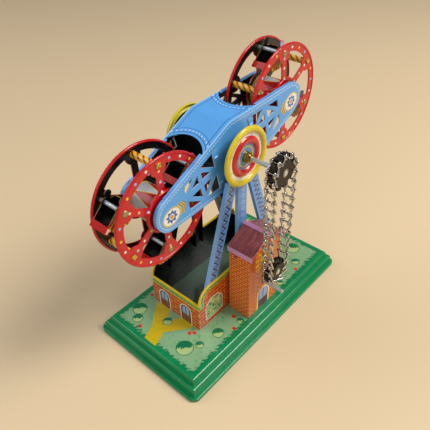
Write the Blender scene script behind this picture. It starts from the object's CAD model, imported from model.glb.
# %% [markdown]
# A printed tin toy: a turning boom with two little wheels of gondolas, a brick station, a motor house
# and a green base. The solids come from the CAD frame, so this lesson is about the finish: how
# printed tin, wire and brass are made with nodes, and how small pressed pieces are added by hand.

# %% Load the frame
import math

import bpy
from mathutils import Matrix, Vector


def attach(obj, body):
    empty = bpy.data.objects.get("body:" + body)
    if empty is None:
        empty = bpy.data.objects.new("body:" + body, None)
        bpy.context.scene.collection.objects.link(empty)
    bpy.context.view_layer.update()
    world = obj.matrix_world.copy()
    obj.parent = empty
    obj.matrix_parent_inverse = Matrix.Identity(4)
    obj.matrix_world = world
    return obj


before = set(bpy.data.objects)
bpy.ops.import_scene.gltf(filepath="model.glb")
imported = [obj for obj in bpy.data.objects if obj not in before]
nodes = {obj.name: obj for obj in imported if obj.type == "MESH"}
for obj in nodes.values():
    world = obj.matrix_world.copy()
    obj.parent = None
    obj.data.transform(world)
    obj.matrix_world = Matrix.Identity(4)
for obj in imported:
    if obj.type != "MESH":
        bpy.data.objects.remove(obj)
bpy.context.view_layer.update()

# %% [markdown]
# The camera stands where the picture was taken: left of the front, above the toy and looking down.
# Its place was worked out from the corners of the base, so it is given as a point, a viewing
# direction and a lens.

# %% Camera
CAMERA_AT = Vector((-0.19925, -0.17307, 0.28517))
LOOK = Vector((0.5823, 0.5291, -0.6171)).normalized()
UPWARD = Vector((0.4770, 0.3922, 0.7864))
side = LOOK.cross(UPWARD).normalized()
top = side.cross(LOOK)
camera_data = bpy.data.cameras.new("photo_camera")
camera_data.lens = 41.0
camera_data.sensor_width = 36.0
camera_data.clip_start = 0.01
camera = bpy.data.objects.new("photo_camera", camera_data)
bpy.context.scene.collection.objects.link(camera)
camera.matrix_world = Matrix((
    (side.x, top.x, -LOOK.x, CAMERA_AT.x),
    (side.y, top.y, -LOOK.y, CAMERA_AT.y),
    (side.z, top.z, -LOOK.z, CAMERA_AT.z),
    (0, 0, 0, 1),
))
bpy.context.scene.camera = camera
print("camera lens", camera_data.lens)

# %% [markdown]
# A print on tin is a set of flat shapes in ink. In nodes each shape is a sum about distance: how far
# a point is from a line, a ring or a spot. A small class lets those sums be written as arithmetic,
# one node for each step.

# %% Arithmetic with nodes
class Field:
    """A number that changes over the surface, kept as a node socket."""

    def __init__(self, tree, socket):
        self.tree = tree
        self.socket = socket

    def op(self, operation, *others):
        node = self.tree.nodes.new("ShaderNodeMath")
        node.operation = operation
        for place, value in enumerate((self,) + others):
            if isinstance(value, Field):
                self.tree.links.new(value.socket, node.inputs[place])
            else:
                node.inputs[place].default_value = value
        return Field(self.tree, node.outputs[0])

    def __add__(self, other):
        return self.op("ADD", other)

    def __sub__(self, other):
        return self.op("SUBTRACT", other)

    def __mul__(self, other):
        return self.op("MULTIPLY", other)

    def __truediv__(self, other):
        return self.op("DIVIDE", other)

    def over(self, limit):
        return self.op("GREATER_THAN", limit)

    def under(self, limit):
        return self.op("LESS_THAN", limit)

    def between(self, low, high):
        return self.over(low) * self.under(high)

    def size(self):
        return self.op("ABSOLUTE")

    def most(self, other):
        return self.op("MAXIMUM", other)

    def least(self, other):
        return self.op("MINIMUM", other)

    def repeat(self, length):
        """Counts from minus half a length to plus half a length, again and again."""
        return ((self / length).op("FRACT") - 0.5) * length

    def zigzag(self, height):
        return self.op("PINGPONG", height)

    def far(self, other):
        """The distance of a point from the origin of two measures."""
        return (self * self + other * other).op("SQRT")

    def angle(self, across):
        """The direction, in degrees, of a point this far up and that far across."""
        return self.op("ARCTAN2", across) * (180 / math.pi)


def shade(code):
    """A colour as seen on a screen, in the numbers that the shader adds up."""
    parts = [int(code[i:i + 2], 16) / 255 for i in (0, 2, 4)]
    return [v / 12.92 if v < 0.04045 else ((v + 0.055) / 1.055) ** 2.4 for v in parts] + [1.0]


# %% [markdown]
# Every finish on the toy starts the same way: a place in millimetres, the way the surface faces, and
# one shader. Colours are then laid on in order like inks, and a last step sets the gloss, with fine
# handling marks in the roughness and a faint ripple in the lacquer.

# %% A sheet of finish to draw on
class Finish:
    """A material whose colours are laid on one over another, with places in millimetres."""

    def __init__(self, name, ground):
        self.material = bpy.data.materials.new(name)
        self.material.use_nodes = True
        self.tree = self.material.node_tree
        self.shader = self.tree.nodes["Principled BSDF"]
        self.ground = shade(ground)
        self.ink = None
        place = self.tree.nodes.new("ShaderNodeTexCoord")
        scale = self.tree.nodes.new("ShaderNodeVectorMath")
        scale.operation = "SCALE"
        scale.inputs["Scale"].default_value = 1000
        self.tree.links.new(place.outputs["Object"], scale.inputs[0])
        self.point = scale.outputs[0]
        self.x, self.y, self.z = self.parts(self.point)
        self.nx, self.ny, self.nz = self.parts(place.outputs["Normal"])

    def parts(self, socket):
        node = self.tree.nodes.new("ShaderNodeSeparateXYZ")
        self.tree.links.new(socket, node.inputs[0])
        return [Field(self.tree, out) for out in node.outputs]

    def vector(self, *values):
        node = self.tree.nodes.new("ShaderNodeCombineXYZ")
        for place, value in enumerate(values):
            if isinstance(value, Field):
                self.tree.links.new(value.socket, node.inputs[place])
            else:
                node.inputs[place].default_value = value
        return node.outputs[0]

    def grain(self, fineness, point=None, detail=2.0):
        """Uneven spots from 0 to 1, this many to the millimetre."""
        node = self.tree.nodes.new("ShaderNodeTexNoise")
        node.inputs["Scale"].default_value = fineness
        node.inputs["Detail"].default_value = detail
        self.tree.links.new(point or self.point, node.inputs["Vector"])
        return Field(self.tree, node.outputs["Fac"])

    def lay(self, where, colour):
        """Lays a colour over what is there. The colour is a code or the socket of another node."""
        node = self.tree.nodes.new("ShaderNodeMix")
        node.data_type = "RGBA"
        self.tree.links.new(where.socket, node.inputs["Factor"])
        for socket, value in ((node.inputs[6], self.ink or self.ground), (node.inputs[7], colour)):
            if isinstance(value, str):
                socket.default_value = shade(value)
            elif isinstance(value, list):
                socket.default_value = value
            else:
                self.tree.links.new(value, socket)
        self.ink = node.outputs[2]

    def bricks(self, across, up, length, course, brick, other, mortar, joint):
        """Courses of brick, as a colour, from a measure across the wall and one up it."""
        node = self.tree.nodes.new("ShaderNodeTexBrick")
        self.tree.links.new(self.vector(across, up, 0.0), node.inputs["Vector"])
        node.inputs["Color1"].default_value = shade(brick)
        node.inputs["Color2"].default_value = shade(other)
        node.inputs["Mortar"].default_value = shade(mortar)
        node.inputs["Scale"].default_value = 1.0
        node.inputs["Mortar Size"].default_value = joint
        node.inputs["Mortar Smooth"].default_value = 0.2
        node.inputs["Brick Width"].default_value = length
        node.inputs["Row Height"].default_value = course
        return node.outputs["Color"]

    def gloss(self, rough, spread=0.12, metal=0.0, coat=0.0, ripple=0.02, fine=0.9, shine=0.5):
        """Sets how the surface shines and joins the laid colours to the shader."""
        marks = self.grain(fine, detail=6.0)
        worn = (marks - 0.5) * spread + rough
        self.tree.links.new(worn.socket, self.shader.inputs["Roughness"])
        self.shader.inputs["Metallic"].default_value = metal
        self.shader.inputs["Coat Weight"].default_value = coat
        self.shader.inputs["Coat Roughness"].default_value = 0.12
        self.shader.inputs["Specular IOR Level"].default_value = shine
        bump = self.tree.nodes.new("ShaderNodeBump")
        bump.inputs["Strength"].default_value = 0.25
        bump.inputs["Distance"].default_value = ripple / 1000
        self.tree.links.new(self.grain(0.35).socket, bump.inputs["Height"])
        self.tree.links.new(bump.outputs[0], self.shader.inputs["Normal"])
        if self.ink is None:
            self.shader.inputs["Base Color"].default_value = self.ground
        else:
            self.tree.links.new(self.ink, self.shader.inputs["Base Color"])
        return self.material


def wear(finish, *names):
    """Puts a finish on CAD nodes."""
    for name in names:
        nodes[name].material_slots[0].material = finish


# %% [markdown]
# The floor is a plain pale table top under soft light, a large lamp on the right for shape and weaker
# ones on the left and behind. Lamps are kept at a level where a colour renders about as it is
# written.

# %% Table and light
bpy.ops.object.select_all(action="DESELECT")
bpy.ops.mesh.primitive_plane_add(size=8, location=(0, 0, 0))
table = bpy.context.object
table.name = "table"
table_top = Finish("table_top", "E4CBA4")
table_top.lay(table_top.grain(0.004, detail=4.0) * 0.25, "D9BE95")
table.data.materials.append(table_top.gloss(0.55, spread=0.1))
TOY_MIDDLE = Vector((0, 0, 0.08))


def lamp(name, place, size, watts, tint):
    """A square lamp that points at the middle of the toy."""
    data = bpy.data.lights.new(name, "AREA")
    data.size = size
    data.energy = watts
    data.color = tint
    thing = bpy.data.objects.new(name, data)
    bpy.context.scene.collection.objects.link(thing)
    thing.location = place
    aim = TOY_MIDDLE - Vector(place)
    thing.rotation_euler = aim.to_track_quat("-Z", "Y").to_euler()


lamp("key_lamp", (0.55, -0.75, 1.15), 0.6, 17.5, (1.0, 0.97, 0.93))
lamp("left_lamp", (-1.1, -0.35, 0.9), 0.9, 4.6, (0.95, 0.97, 1.0))
lamp("back_lamp", (-0.5, 1.0, 1.0), 0.8, 5, (1.0, 1.0, 1.0))
world = bpy.data.worlds.new("studio")
bpy.context.scene.world = world
world.use_nodes = True
sky = world.node_tree.nodes["Background"]
sky.inputs["Color"].default_value = (0.92, 0.95, 1.0, 1)
sky.inputs["Strength"].default_value = 0.23
bpy.context.scene.view_settings.view_transform = "Standard"
print("lamps and table are set")

# %% [markdown]
# Sizes of the object that the prints follow. They repeat the CAD values, in millimetres, so that a
# ring of dots or a brick course sits where the metal is.

# %% Sizes that the prints follow
AXLE_Z = 131.6
ROTOR_Y = 5.0
TILT = math.radians(13.7)
BOOM = 58.0
LAWN_Z = 13.0
STATION_X = 46.5
STATION_FRONT = -17.0
STATION_BACK = 27.8
END_Z = 37.5
SIDE_Z = 49.0
SHOULDER = 11.5
PIVOT_R = 30.0
PHASE = {"left": 32.8, "right": 94.0}
SIGN = {"left": -1, "right": 1}
RIM_Y = {"front": -5.0, "rear": 15.0}
HUB = {s: (SIGN[s] * BOOM * math.cos(TILT), AXLE_Z + SIGN[s] * BOOM * math.sin(TILT)) for s in SIGN}


def pivot(wheel, index):
    """The place of a gondola rod, across and up."""
    turn = math.radians(PHASE[wheel] + 120 * index)
    return HUB[wheel][0] + PIVOT_R * math.cos(turn), HUB[wheel][1] + PIVOT_R * math.sin(turn)


print("wheel hubs", HUB)

# %% [markdown]
# The base is one pressing: a glossy green skirt and a lawn printed on top. The lawn has a ragged
# hedge along its edge, a forked path, round bushes in two greens and small flowers, each drawn as a
# distance from a line or spot.

# %% Lawn and skirt
PATH_LINES = (((-77, 2), (-63, 7)), ((-63, 7), (-47, 19)), ((-63, 7), (-47, -6)))
BUSHES = (
    (-60, 30, 5.4), (-67, 24.5, 3.9), (-55.5, 6, 3.6), (-64, -19, 6.1), (-55.5, -25, 3.0),
    (-40, -28, 4.2), (-22, -33, 2.8), (-34, 33, 3.4), (-9, 33.5, 3.0), (15, 33, 3.8), (41, 33.5, 3.2),
    (62, 29, 5.2), (69, 22, 3.0), (60, 4, 3.6), (65, -18, 5.8), (53, -29, 3.4), (37, -26, 4.4),
    (26, -33, 2.8),
)
FLOWERS = (
    (-71, 18), (-53, -13), (-50.6, -15.4), (-22, -27), (-45, 33), (-30, -34),
    (30, -21), (46, -34), (66, 14), (53, 16), (3, 33),
)
LAWN_HALF = (75.5, 37.5)
PATH_HALF = 5.1
HEDGE = 3.6


def print_line(finish, start, end):
    """The distance of each point from a straight line between two places on the lawn."""
    run = (end[0] - start[0], end[1] - start[1])
    length = math.hypot(*run)
    unit = (run[0] / length, run[1] / length)
    dx = finish.x - start[0]
    dy = finish.y - start[1]
    along = (dx * unit[0] + dy * unit[1]).most(0.0).least(length)
    return (dx - along * unit[0]).far(dy - along * unit[1])


lawn = Finish("green_base", "00854B")
lawn.lay(lawn.grain(0.12, detail=5.0).over(0.55) * 0.4, "007642")
to_end = lawn.x.size() * -1 + LAWN_HALF[0]
to_side = lawn.y.size() * -1 + LAWN_HALF[1]
edge = to_end.least(to_side)
on_top = lawn.z.over(LAWN_Z - 0.05) * edge.over(-0.1)
lawn.lay(on_top, "84AC80")
lawn.lay(on_top * lawn.grain(0.2, detail=5.0).over(0.55) * 0.45, "78A377")
lawn.lay(on_top * lawn.grain(0.42, detail=1.0).over(0.66), "5F9F66")
path = print_line(lawn, *PATH_LINES[0])
for ends in PATH_LINES[1:]:
    path = path.least(print_line(lawn, *ends))
ragged = (lawn.grain(0.9) - 0.5) * 1.2
on_path = (path + ragged).under(PATH_HALF)
lawn.lay(on_top * on_path, "CBB00A")
lawn.lay(on_top * on_path * lawn.grain(0.8, detail=4.0).over(0.56) * 0.4, "B39A08")
lumps = (lawn.x * 0.75 - lawn.y * 0.66).zigzag(0.8) * 0.9
lumps = lumps + (lawn.grain(0.5, detail=3.0) - 0.5) * 6.0
for bx, by, br in BUSHES:
    dx = lawn.x - bx
    dy = lawn.y - by
    ball = dx.far(dy) + ragged * 0.3
    shaded = dx * 0.66 + dy * 0.75 + lumps
    lawn.lay(on_top * ball.under(br), "0E6E42")
    lawn.lay(on_top * ball.under(br - 0.5) * shaded.under(0.1 * br), "A6C07E")
for bx, by in FLOWERS:
    petals = ((lawn.x - bx) * 1.2).far(lawn.y - by) + ragged * 0.5
    bud = (lawn.x - bx - 2.1).far(lawn.y - by - 1.2) + ragged * 0.4
    lawn.lay(on_top * petals.under(1.55), "C8241C")
    lawn.lay(on_top * bud.under(0.65), "D88A2A")
row = lawn.x + lawn.y * 1.02
blades = row.zigzag(0.62) * 2.2 + row.zigzag(1.9) * 0.9
blades = blades + (lawn.grain(0.3, detail=3.0) - 0.5) * 7.0
lawn.lay(on_top * (edge + blades).under(HEDGE) * (on_path * -1 + 1), "067A48")
inside_station = lawn.x.size().under(STATION_X) * lawn.y.between(STATION_FRONT, STATION_BACK)
lawn.lay(on_top * inside_station, "35583F")
lawn.lay(lawn.nz.under(-0.3) * lawn.z.under(LAWN_Z - 0.3), "6E7472")
wear(lawn.gloss(0.22, spread=0.12, coat=0.3, ripple=0.03, shine=0.3), "base_tray")
print("lawn nodes", len(lawn.tree.nodes))

# %% [markdown]
# The station walls are printed with orange bricks in yellow mortar, a leafy green band under a rolled
# yellow edge and arched doors. The band follows the rounded shoulders, so it is drawn from the
# distance to that outline. The inside is plain black.

# %% Station brickwork
def arch(across, up, middle, width, height):
    """How far inside an arched opening a point lies: positive inside."""
    rise = (up - (height - width / 2)).most(0.0)
    return (across - middle).far(rise) * -1 + width / 2


BRICK = (7.4, 3.2)
LEAF_BAND = 4.6
DOORS_Y = (-4.2, 16.8)
WINDOWS_X = (-31.0, 31.0)
SASH = 0.35

walls = Finish("station_print", "C64A1E")
along = walls.x + walls.y
rise = walls.z - LAWN_Z
walls.lay(walls.z.over(0.0), walls.bricks(along, rise, *BRICK, "CB3B12", "B8300C", "E8A036", 0.3))
walls.lay(walls.grain(1.1, detail=5.0).over(0.6) * 0.35, "A93512")
on_end = walls.x.size().over(STATION_X - 0.12)
on_side = walls.y.under(STATION_FRONT + 0.12).most(walls.y.over(STATION_BACK - 0.12))
past_end = (walls.x.size() - (STATION_X - SHOULDER)).most(0.0)
past_top = (walls.z - (SIDE_Z - SHOULDER)).most(0.0)
shoulder = past_end.far(past_top)
to_edge = on_side * (shoulder * -1 + SHOULDER) + (on_side * -1 + 1) * (walls.z * -1 + END_Z)
band = to_edge.under(LEAF_BAND) * walls.z.over(END_Z - LEAF_BAND)
walls.lay(band, "2E8F3F")
leaves = walls.grain(0.9, walls.vector(along * 1.0, to_edge * 1.6, 0.0), detail=1.0)
walls.lay(band * leaves.over(0.54), "93C94A")
walls.lay(band * leaves.under(0.40), "14612C")
line = to_edge.between(LEAF_BAND - 0.1, LEAF_BAND + 0.5)
walls.lay(line * walls.z.over(END_Z - LEAF_BAND - 0.5), "D9B52C")
walls.lay(to_edge.under(1.55) * walls.z.over(END_Z - 2), "E2C023")
for middle in DOORS_Y:
    door = arch(walls.y, rise, middle, 11.0, 17.0)
    walls.lay(on_end * door.over(0.0), "EFE3DC")
    walls.lay(on_end * door.over(0.9), "4A211C")
    pane = arch(walls.y, rise - 1.2, middle, 6.4, 14.0).over(0.0) * (walls.y - middle).size().over(SASH)
    walls.lay(on_end * pane, "8FB4DC")
    walls.lay(on_end * pane * rise.under(7.5), "7A3A2C")
garden = walls.grain(0.55, detail=4.0)
for middle in WINDOWS_X:
    window = arch(walls.x, rise - 4.0, middle, 18.0, 19.0)
    walls.lay(on_side * window.over(0.0) * rise.over(4.0), "F0DCC8")
    view = on_side * window.over(0.9) * rise.over(4.9)
    walls.lay(view, "8FA86E")
    walls.lay(view * garden.over(0.52), "C9D88E")
    walls.lay(view * garden.under(0.40), "3F7A56")
inner = (on_end.most(on_side) * -1 + 1) * walls.z.under(END_Z - 0.9).most(shoulder.under(SHOULDER - 1.2))
walls.lay(inner * walls.y.between(STATION_FRONT + 0.3, STATION_BACK - 0.3), "070A08")
wear(walls.gloss(0.26, coat=0.3), "station_walls")
print("station nodes", len(walls.tree.nodes))

# %% [markdown]
# The house is printed with much smaller bricks, a plain band at its corners and a door at the front.
# Its roof has planks that run down the slope, with a lilac ridge and fascia.

# %% House and roof
HOUSE_X = 16.5
HOUSE_FRONT = -36.0
HOUSE_BACK = -18.6
SMALL_BRICK = (4.5, 2.1)
CORNER_BAND = 5.4
SUN_Z = 60.0

house = Finish("house_print", "C9551F")
on_face = house.y.under(HOUSE_FRONT + 0.12)
span = house.x + house.y
house.lay(house.z.over(0.0), house.bricks(span, house.z, *SMALL_BRICK, "D8420F", "C63A0C", "F4B858", 0.26))
corner = on_face * house.x.size().over(HOUSE_X - CORNER_BAND) * house.z.over(LAWN_Z + 9)
house.lay(corner, "D4692F")
house.lay(corner * house.grain(0.5, detail=5.0).over(0.54) * 0.4, "C45A25")
door = arch(house.x, house.z - LAWN_Z, 0.0, 15.0, 20.0)
house.lay(on_face * door.over(0.0), "E8C53A")
house.lay(on_face * door.over(1.1), "F0E6DF")
house.lay(on_face * door.over(1.9), "5A2A2E")
panes = arch(house.x, house.z - LAWN_Z - 2.0, 0.0, 9.4, 16.0)
house.lay(on_face * panes.over(0.0) * house.x.size().over(0.4) * house.z.over(LAWN_Z + 8), "8FA8D8")
sun = house.x.far(house.z - SUN_Z)
rays = (house.z - SUN_Z).angle(house.x).repeat(30.0)
house.lay(on_face * sun.under(10.5) * rays.size().under(5.0), "E6C02C")
house.lay(on_face * sun.under(4.6), "E6C02C")
across_room = house.x.size().under(HOUSE_X - 0.3)
along_room = house.y.between(HOUSE_FRONT + 0.3, HOUSE_BACK - 0.3)
house.lay(across_room * along_room, "0B0B0B")
wear(house.gloss(0.3, coat=0.2, shine=0.4), "house_walls")

roof = Finish("roof_planks", "974C4C")
slope = roof.vector(roof.y * 2.2, roof.z * 0.16, roof.x * 0.16)
grain = roof.grain(0.9, slope, detail=5.0)
roof.lay(grain.over(0.5) * 0.6, "7A363A")
roof.lay(grain.under(0.42) * 0.7, "B06C68")
roof.lay(roof.y.repeat(1.7).size().under(0.12), "4C1F27")
roof.lay(roof.x.size().over(17.3) * roof.nx.size().over(0.9), "D094BC")
roof.lay(roof.x.size().under(1.95) * roof.z.over(80.6) * roof.nz.over(0.2), "C885AE")
roof.lay(roof.ny.under(-0.7), "BE7CA6")
roof.lay(roof.nz.under(-0.2), "5A5654")
wear(roof.gloss(0.34, coat=0.15), "house_roof")
print("house and roof are printed")

# %% [markdown]
# Tower legs are folded channels. The outer face carries a dark zigzag on a deeper blue, the folded
# edges are light blue and the inside is black. Each leg leans, so the zigzag is drawn along the leg's
# own middle line.

# %% Towers
LEAN = 0.32
MEET_Z = 146.0
LEG_HALF = 4.2
CURL = 5.2
LEAN_COS = math.cos(math.atan(LEAN))
LEAN_SIN = math.sin(math.atan(LEAN))


def tower_print(name, outward, inner):
    """The inner value is how far a face may turn from the outward side before it is in the dark channel."""
    paint = Finish(name, "79B2EC")
    faces_out = (paint.ny * outward).over(0.5)
    drop = (paint.z * -1 + MEET_Z) * LEAN
    off = (paint.x.size() - drop) * LEAN_COS
    on_middle = paint.x.size().under(LEG_HALF + 0.1)
    across = on_middle * paint.x + (on_middle * -1 + 1) * off
    on_face = faces_out * across.size().under(LEG_HALF - 0.5)
    paint.lay(on_face, "5B94D8")
    paint.lay(on_face * paint.grain(0.7, detail=4.0).over(0.55) * 0.5, "74A8E2")
    down = paint.z * LEAN_COS - paint.x.size() * LEAN_SIN
    wave = down.zigzag(2.25) * 1.9 - 2.1
    line = (across - wave).size().under(0.9)
    legs = on_face * (on_middle * -1 + 1)
    paint.lay(legs * line * (wave - across).size().under(3.4), "182440")
    paint.lay(legs * (across - wave - 1.7).size().under(0.4), "8FBCEE")
    beat = paint.z.repeat(CURL)
    curl = paint.x.far(beat)
    scroll = curl.between(1.5, 2.0) * (paint.x + beat).over(-1.2)
    paint.lay(on_face * on_middle * scroll.most(curl.under(0.55)), "A6C9F0")
    paint.lay((paint.ny * outward).under(inner), "0D0E10")
    return paint.gloss(0.24, coat=0.35)


wear(tower_print("front_tower_print", -1, -0.5), "front_tower")
wear(tower_print("rear_tower_print", 1, 0.3), "rear_tower")
print("towers are printed")

# %% [markdown]
# The boom is light blue outside and black inside. A dashed line of pale dots runs along the edge of
# each arm, and a badge with a rosette sits at each end. The plate on top has a thin dark border. The
# boom is tilted, so its prints use measures along and across it.

# %% Boom arms and plates
ARM_END = 11.3
ARM_FACE = 15.75
SHEET = 0.8
TAB_AT = (16.8, 12.4)
DASH = 1.9
BADGE_AT = (58.4, -1.6)
BADGE_HALF = (7.2, 5.9)
CHEVRON = 1.45
PLATE_CUT = 17.97
TAPER = math.asin((23 * math.cos(math.radians(12)) - ARM_END) / BOOM)


def boom_print(name, outward):
    """An arm: dashes along its edge, a badge at each end and black on the inside."""
    paint = Finish(name, "57A5EA")
    up = paint.z - AXLE_Z
    along = paint.x * math.cos(TILT) + up * math.sin(TILT)
    across = up * math.cos(TILT) - paint.x * math.sin(TILT)
    length = along.size()
    straight = (length * -1 + BOOM) * math.sin(TAPER) + ARM_END - across.size() * math.cos(TAPER)
    end = (length - BOOM).far(across) * -1 + ARM_END
    past = length.over(BOOM + 2.0)
    edge = past * end + (past * -1 + 1) * straight
    faces_out = (paint.ny * outward).over(0.5)
    depth = (paint.y - ROTOR_Y).size() * -1 + ARM_FACE
    to_middle = (paint.nz * math.cos(TILT) - paint.nx * math.sin(TILT)) * across
    paint.lay(paint.grain(0.25, detail=4.0).over(0.55) * 0.35, "519CE1")
    paint.lay(paint.ny.size().under(0.4) * depth.under(SHEET + 0.02), "A4CCF2")
    turn = across.angle(length - BOOM) * 0.2
    beat = past * turn.repeat(DASH) + (past * -1 + 1) * along.repeat(DASH)
    paint.lay(faces_out * edge.under(1.4), "68AEF0")
    paint.lay(faces_out * edge.between(1.7, 2.35) * beat.size().under(0.55), "D6E6EE")
    paint.lay(faces_out * edge.between(2.35, 2.6) * (beat - 0.2).size().under(0.5), "3F77B8")
    badge_u = length - BADGE_AT[0]
    badge_v = across - BADGE_AT[1]
    field = (badge_u / BADGE_HALF[0]).far(badge_v / BADGE_HALF[1])
    paint.lay(faces_out * field.under(1.0), "D8BC3A")
    paint.lay(faces_out * field.under(0.86), "F0ECE2")
    bloom = badge_u.far(badge_v)
    petal = badge_v.angle(badge_u).repeat(45.0).size() * -0.075 + 4.6
    paint.lay(faces_out * bloom.under(petal), "2E66B0")
    paint.lay(faces_out * bloom.under(2.0), "F0ECE2")
    paint.lay(faces_out * bloom.under(1.4), "C9972A")
    chevron = length - badge_v.size() * 0.5
    row = faces_out * badge_v.size().under(4.4) * chevron.between(46.3, 50.7) * field.over(1.05)
    paint.lay(row * chevron.repeat(CHEVRON).size().under(0.44), "DDBE48")
    paint.lay(row * (chevron + 0.72).repeat(CHEVRON).size().under(0.24), "3A2A1E")
    slit = (across.size() - TAB_AT[1] - 2.5).size().under(0.3)
    paint.lay(faces_out * slit * (length - TAB_AT[0]).size().under(2.4), "1D3350")
    inside = (paint.ny * outward).under(-0.5).most(to_middle.under(-3.0) * depth.over(SHEET + 0.05))
    paint.lay(inside, "0D0E10")
    return paint.gloss(0.3, coat=0.2)


def plate_print(name, upward):
    """A plate between the arms: border lines that follow its curved ends."""
    paint = Finish(name, "57A5EA")
    up = paint.z - AXLE_Z
    along = (paint.x * math.cos(TILT) + up * math.sin(TILT)).size()
    width = (paint.y - ROTOR_Y).size()
    bow = (along - 17 - PLATE_CUT).far(paint.y - ROTOR_Y) - PLATE_CUT
    paint.lay(paint.grain(0.25, detail=4.0).over(0.55) * 0.35, "519CE1")
    paint.lay(bow.between(1.6, 2.0), "1C4A82")
    paint.lay(bow.between(4.4, 4.7), "1C4A82")
    paint.lay(width.between(12.5, 12.9) * bow.over(1.7), "1C4A82")
    paint.lay(bow.between(2.7, 3.6) * paint.y.repeat(2.6).size().under(0.35), "CFE2F0")
    paint.lay((paint.nz * upward).under(-0.2), "0D0E10")
    return paint.gloss(0.32, coat=0.15)


arm_finish = {-1: boom_print("front_arm_print", -1), 1: boom_print("rear_arm_print", 1)}
wear(arm_finish[-1], "front_arm")
wear(arm_finish[1], "rear_arm")
wear(plate_print("top_plate_print", 1), "top_plate")
wear(plate_print("bottom_plate_print", -1), "bottom_plate")
print("boom is printed")

# %% [markdown]
# Two small things are left to model on the boom. The edge of each arm is turned in round its end, and
# the plates are held by tabs that come through slots and lie bent on the arm. An end strip starts as
# a circle: half of it is taken away, the rest is drawn out sideways and given a thickness. A tab
# starts as a flat block with two rounded corners. Each is made once at the middle of the world and
# its copies are carried to their places.

# %% Turned ends and bent tabs
def select_points(thing, test):
    """Selects the points of a mesh that pass a test, ready for the next tool."""
    bpy.ops.object.mode_set(mode="EDIT")
    bpy.ops.mesh.select_all(action="DESELECT")
    bpy.ops.object.mode_set(mode="OBJECT")
    for point in thing.data.vertices:
        point.select = test(point.co)
    bpy.ops.object.mode_set(mode="EDIT")


def apply_all(thing):
    """Makes every modifier of a piece part of its mesh."""
    for name in [m.name for m in thing.modifiers]:
        bpy.ops.object.modifier_apply(modifier=name)


def carry(thing, name, u, v, depth, turn, outward):
    """Copies a piece to a place on the boom, given along it, across it and in from an arm's face."""
    copy = thing.copy()
    copy.data = thing.data.copy()
    copy.name = name
    bpy.context.scene.collection.objects.link(copy)
    bpy.ops.object.select_all(action="DESELECT")
    copy.select_set(True)
    bpy.context.view_layer.objects.active = copy
    copy.rotation_euler = (0, turn - TILT, 0)
    copy.location = (
        (u * math.cos(TILT) - v * math.sin(TILT)) / 1000,
        (ROTOR_Y + outward * (ARM_FACE - depth)) / 1000,
        (AXLE_Z + u * math.sin(TILT) + v * math.cos(TILT)) / 1000,
    )
    bpy.ops.object.transform_apply(location=True, rotation=True, scale=True)
    copy.data.materials.clear()
    copy.data.materials.append(arm_finish[outward])
    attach(copy, "boom")


bpy.ops.object.select_all(action="DESELECT")
bpy.ops.mesh.primitive_circle_add(vertices=96, radius=(ARM_END - 0.04) / 1000, rotation=(math.pi / 2, 0, 0))
end_strip = bpy.context.object
bpy.ops.object.transform_apply(location=True, rotation=True, scale=True)
select_points(end_strip, lambda co: co.x < -0.00001)
bpy.ops.mesh.delete(type="VERT")
bpy.ops.mesh.select_all(action="SELECT")
bpy.ops.mesh.extrude_region_move(TRANSFORM_OT_translate={"value": (0, 0.0011, 0)})
bpy.ops.mesh.extrude_region_move(TRANSFORM_OT_translate={"value": (0, 0.0011, 0)})
bpy.ops.mesh.select_all(action="SELECT")
bpy.ops.transform.translate(value=(0, -0.0011, 0))
bpy.ops.mesh.normals_make_consistent(inside=False)
bpy.ops.object.mode_set(mode="OBJECT")
wall = end_strip.modifiers.new("wall", "SOLIDIFY")
wall.thickness = SHEET / 1000
wall.offset = -1
soft = end_strip.modifiers.new("soft", "BEVEL")
soft.width = 0.00012
soft.segments = 2
apply_all(end_strip)
bpy.ops.object.shade_smooth_by_angle(angle=math.radians(40))

bpy.ops.object.select_all(action="DESELECT")
bpy.ops.mesh.primitive_cube_add(size=1)
tab = bpy.context.object
tab.dimensions = (0.0044, 0.00045, 0.0048)
bpy.ops.object.transform_apply(location=True, rotation=True, scale=True)
select_points(tab, lambda co: co.z < 0)
bpy.ops.mesh.select_mode(type="EDGE")
bpy.ops.object.mode_set(mode="OBJECT")
for rim in tab.data.edges:
    ends = [tab.data.vertices[i].co for i in rim.vertices]
    rim.select = all(co.z < 0 for co in ends) and abs(ends[0].y - ends[1].y) > 0.0001
bpy.ops.object.mode_set(mode="EDIT")
bpy.ops.mesh.bevel(offset=0.0011, segments=5, affect="EDGES")
bpy.ops.mesh.select_mode(type="VERT")
bpy.ops.object.mode_set(mode="OBJECT")
soft = tab.modifiers.new("soft", "BEVEL")
soft.width = 0.0001
soft.segments = 2
apply_all(tab)
bpy.ops.object.shade_smooth_by_angle(angle=math.radians(40))

for outward, place in ((-1, "front"), (1, "rear")):
    for sign in (-1, 1):
        half_turn = 0 if sign > 0 else math.pi
        name = "%s_end_strip_%d" % (place, sign > 0)
        carry(end_strip, name, sign * BOOM, 0, SHEET + 1.1, half_turn, outward)
        for level in (-1, 1):
            name = "%s_tab_%d%d" % (place, sign > 0, level > 0)
            half_turn = 0 if level > 0 else math.pi
            carry(tab, name, sign * TAB_AT[0], level * TAB_AT[1], -0.2, half_turn, outward)
for made in (end_strip, tab):
    bpy.data.objects.remove(made)
print("turned ends and tabs ride on the boom")

# %% [markdown]
# The discs on the main axle are targets: rings of yellow, white, red and blue that follow the pressed
# ridges.

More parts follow.
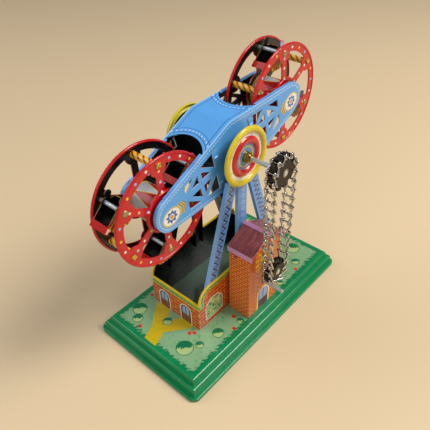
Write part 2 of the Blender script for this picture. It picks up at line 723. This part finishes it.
# %% Discs
disc = Finish("target_print", "DEC826")
reach = disc.x.far(disc.z - AXLE_Z)
turn = (disc.z - AXLE_Z).angle(disc.x)
disc.lay(disc.grain(0.3, detail=4.0).over(0.55) * 0.4, "CDB51A")
disc.lay(reach.under(15.35), "F0ECE2")
disc.lay(reach.between(13.5, 14.9) * turn.repeat(45.0).size().under(1.7), "D2AE1C")
disc.lay(reach.under(13.2), "CB201D")
disc.lay(reach.under(8.4), "5A86A8")
disc.lay(reach.between(6.2, 6.8), "DDBE36")
back_side = (disc.ny * (disc.y - ROTOR_Y)).under(0.0)
disc.lay(back_side * reach.under(15.6), "0D0E10")
wear(disc.gloss(0.24, coat=0.3), "front_disc", "rear_disc")
print("discs are printed")

# %% [markdown]
# Each wheel rim is red with rows of white, blue and yellow dots on its band and spokes, and black
# inside. The dots are counted by angle from the first spoke. Drums have red and silver triangles,
# crossbars have a barber stripe.

# %% Wheels
DOT_R = 0.85
DOT_RING = 32.4
DOT_TURN = 15.0
DOT_STEP = 6.65
BAR_END = 9.7


def wheel_measures(finish, wheel, step):
    """Radius, and the distance along and across the nearest of the spokes this many degrees apart."""
    dx = finish.x - HUB[wheel][0]
    dz = finish.z - HUB[wheel][1]
    reach = dx.far(dz)
    turn = dz.angle(dx) - PHASE[wheel] + 720
    off = (turn + step / 2).repeat(step) * (math.pi / 180)
    return reach, turn, reach * off.op("COSINE"), reach * off.op("SINE")


def rim_print(wheel, y, outward):
    """A rim: dots on its band and spokes, black on the side that faces the other rim."""
    paint = Finish("%s_rim_print_%d" % (wheel, y), "C8161B")
    reach, turn, along, across = wheel_measures(paint, wheel, 60.0)
    paint.lay(paint.grain(0.3, detail=4.0).over(0.55) * 0.35, "B61215")
    beat = turn + DOT_TURN / 2
    count = (beat / DOT_TURN).op("FLOOR") + (along / DOT_STEP).op("FLOOR")
    third = count.op("FLOORED_MODULO", 3.0)
    ring_dot = (beat.repeat(DOT_TURN) * (math.pi / 180) * reach).far(reach - DOT_RING).under(DOT_R)
    spoke_dot = across.far((along - 3.6).repeat(DOT_STEP)).under(DOT_R) * along.between(12.4, 28.0)
    dot = (ring_dot * across.size().over(4.0)).most(spoke_dot)
    paint.lay(dot, "F2EEE6")
    paint.lay(dot * third.between(0.5, 1.5), "8FB9E6")
    paint.lay(dot * third.over(1.5), "E6C437")
    paint.lay((paint.ny * outward).under(-0.35) * reach.under(34.3), "0D0D0D")
    return paint.gloss(0.22, coat=0.3, shine=0.35)


def drum_print(wheel):
    """A drum: six red triangles on silver, with yellow lines between."""
    paint = Finish(wheel + "_drum_print", "B3B6BA")
    turn = wheel_measures(paint, wheel, 60.0)[1]
    level = (paint.y - ROTOR_Y + 9.6) / 19.2
    peak = (turn / 30.0).zigzag(1.0)
    gap = level - peak
    paint.lay(gap.under(0.0), "B71C1E")
    paint.lay(gap.size().under(0.045), "DDBE36")
    paint.lay(level.under(0.06).most(level.over(0.94)), "DDBE36")
    return paint.gloss(0.28, coat=0.2)


def crossbar_print(wheel):
    """A crossbar: stripes that wind round it, and worn yellow ends."""
    paint = Finish(wheel + "_crossbar_print", "E6C32B")
    dx = paint.x - HUB[wheel][0]
    dz = paint.z - HUB[wheel][1]
    reach = dx.far(dz)
    turn = dz.angle(dx) - PHASE[wheel] - 60 + 720
    off = (turn + 60.0).repeat(120.0) * (math.pi / 180)
    around = (reach * off.op("SINE")).angle(reach * off.op("COSINE") - PIVOT_R)
    paint.lay((around / 120.0 + paint.y / 4.6 + 9.0).op("FRACT").under(0.38), "C0231A")
    on_end = (paint.y - ROTOR_Y).size().over(BAR_END)
    paint.lay(on_end, "D2AE2C")
    paint.lay(on_end * paint.grain(0.9, detail=4.0).over(0.52) * 0.8, "5A4218")
    return paint.gloss(0.26, coat=0.3)


for wheel in SIGN:
    for place, outward in (("front", -1), ("rear", 1)):
        wear(rim_print(wheel, RIM_Y[place], outward), "%s_%s_rim" % (wheel, place))
    wear(drum_print(wheel), wheel + "_drum")
    wear(crossbar_print(wheel), wheel + "_crossbars")
print("wheels are printed")

# %% [markdown]
# A gondola is a folded seat: yellow side panels with red rays, a red front, black inside and a plain
# lilac tab on top. Rays are drawn by angle about the rod.

# %% Gondolas
PANEL_Y = 6.18
HEAD_AT = (2.6, 4.4)


def gondola_print(wheel, index):
    """A gondola, printed about its own rod."""
    paint = Finish("%s_gondola_print_%d" % (wheel, index), "E6C32B")
    px, pz = pivot(wheel, index)
    across = paint.x - px
    up = paint.z - pz
    sideways = (paint.y - ROTOR_Y).size()
    on_panel = sideways.over(PANEL_Y)
    rays = (up + 1.0).angle(across).repeat(16.0).size().under(4.0)
    paint.lay(rays, "C9261C")
    lean_out = paint.nx * (across + 1.0) + paint.nz * (up + 5.5)
    outside = lean_out.over(0.0) * paint.ny.size().under(0.5)
    paint.lay(outside * sideways.over(5.55), "6E5A1A")
    paint.lay(outside * across.under(-6.0), "C01C16")
    within = (on_panel.most(outside) * -1 + 1)
    paint.lay(within, "0C0C0C")
    head = (across - HEAD_AT[0]).far(up - HEAD_AT[1])
    paint.lay(on_panel * head.under(2.6), "C79BC4")
    paint.lay(on_panel * head.under(1.5), "DDC0DC")
    return paint.gloss(0.28, coat=0.15, shine=0.3)


for wheel in SIGN:
    for index, letter in enumerate("abc"):
        wear(gondola_print(wheel, index), "%s_gondola_%s" % (wheel, letter))
print("gondolas are printed")

# %% [markdown]
# Bare metal needs little colour and much roughness detail. The chain is bright wire with dirt in its
# bends, rods have drawn streaks, sprockets are dark and oily, bushes and gears are brass and the nuts
# a duller brass.

# %% Bare metals
wire = Finish("bright_wire", "D0CDC6")
wire.lay(wire.grain(0.9, detail=5.0).over(0.55) * 0.75, "4A443A")
wear(wire.gloss(0.16, spread=0.2, metal=1.0, ripple=0.02, fine=2.2), "drive_chain")
rods = Finish("drawn_rod", "CAD6DA")
streaks = rods.grain(0.6, rods.vector(rods.x * 3, rods.y * 0.4, rods.z * 3), detail=6.0)
rods.lay(streaks.over(0.55) * 0.4, "A2A6A8")
rivet_heads = (rods.y - ROTOR_Y).size().between(10.25, 12.5) * rods.z.over(60.0)
rods.lay(rivet_heads, "A9976A")
wear(rods.gloss(0.34, spread=0.2, metal=0.6, ripple=0.01), "main_axle", "axle_spacers", "left_wheel_axle",
     "right_wheel_axle", "left_gondola_rods", "right_gondola_rods", "output_shaft", "winding_arbor")
plain = Finish("rolled_steel", "A6A8AA")
rolled = plain.grain(0.5, plain.vector(plain.x, plain.y, plain.z * 8), detail=6.0)
plain.lay(rolled.over(0.5) * 0.4, "7E8082")
wear(plain.gloss(0.38, spread=0.25, metal=1.0), "motor_front_plate", "motor_rear_plate", "motor_posts",
     "click_spring", "ratchet_wheel", "fly_arbor", "fly_vanes", "mainspring")
dark = Finish("dark_steel", "2B2725")
dark.lay(dark.grain(0.9, detail=6.0).over(0.55) * 0.6, "4A423A")
wear(dark.gloss(0.42, spread=0.25, metal=0.8), "upper_sprocket", "lower_sprocket")
brass = Finish("turned_brass", "B9A678")
brass.lay(brass.grain(0.8, detail=6.0).over(0.52) * 0.6, "7E6C44")
wear(brass.gloss(0.3, spread=0.22, metal=1.0), "front_bush", "rear_bush", "upper_sprocket_bush",
     "lower_sprocket_bush", "great_wheel", "output_pinion", "governor_wheel")
nuts = Finish("dull_brass", "B5A062")
nuts.lay(nuts.grain(0.8, detail=6.0).over(0.52) * 0.6, "6E6038")
wear(nuts.gloss(0.26, spread=0.22, metal=1.0), "front_nut", "rear_nut")
print("metals are set")

# %% [markdown]
# The size of the dressed toy is written next to the CAD box, and the last line hands the scene over.

# %% Finish
print("sizes written")
